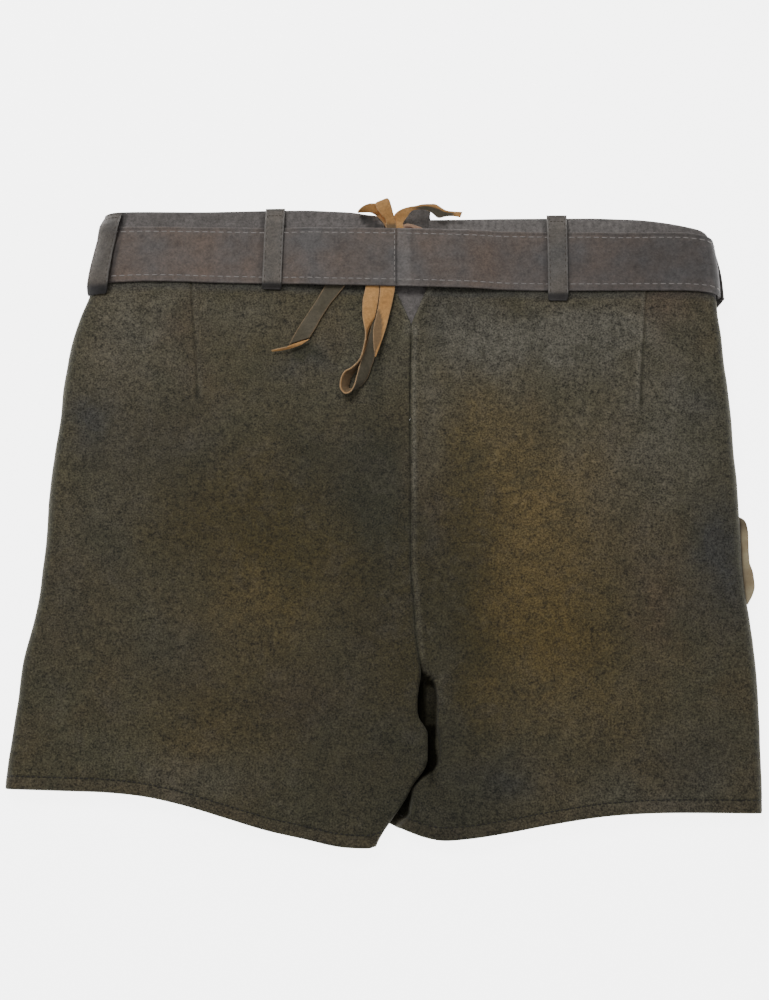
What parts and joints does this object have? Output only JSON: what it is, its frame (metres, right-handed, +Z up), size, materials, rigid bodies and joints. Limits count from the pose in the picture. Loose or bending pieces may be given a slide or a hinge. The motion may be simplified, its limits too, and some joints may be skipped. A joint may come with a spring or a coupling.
{
  "type": "lederhosen",
  "caption": "Short olive suede lederhosen laid flat with the back up, with a leather belt through its loops and a laced notch at the centre back.",
  "frame": {"origin": "middle of the garment's box, laces left out, on the surface that it lies on", "axes": "+X towards the wearer's right, +Y towards the waist, +Z up, out of the garment's back"},
  "size_m": [0.5126, 0.4589, 0.0324],
  "materials": {
    "suede": "napped suede, matt",
    "waistband_suede": "napped suede, matt",
    "belt_leather": "waxed leather, satin to matt",
    "lace_leather": "suede on one side, smooth on the other",
    "pocket_edge": "bare flesh side, matt",
    "brass": "aged, satin",
    "horn": "polished horn"
  },
  "bodies": {
    "root": {"back_left": "suede", "back_right": "suede", "belt_keeper": "belt_leather", "belt_left": "belt_leather", "belt_right": "belt_leather", "buckle_frame": "brass", "buckle_prong": "brass", "button_left": "horn", "button_right": "horn", "front_flap": "suede", "front_left": "suede", "front_right": "suede", "gusset": "waistband_suede", "lace_bow_left": "lace_leather", "lace_cross": "lace_leather", "lace_end_left": "lace_leather", "lace_end_low": "lace_leather", "lace_end_right": "lace_leather", "lace_knot": "lace_leather", "lace_loop_low": "lace_leather", "loop_back_left": "belt_leather", "loop_back_right": "belt_leather", "loop_front_left": "belt_leather", "loop_front_right": "belt_leather", "loop_side_left": "belt_leather", "loop_side_right": "belt_leather", "pocket_lip": "pocket_edge", "waistband_left": "waistband_suede", "waistband_right": "waistband_suede"}
  },
  "joints": []
}
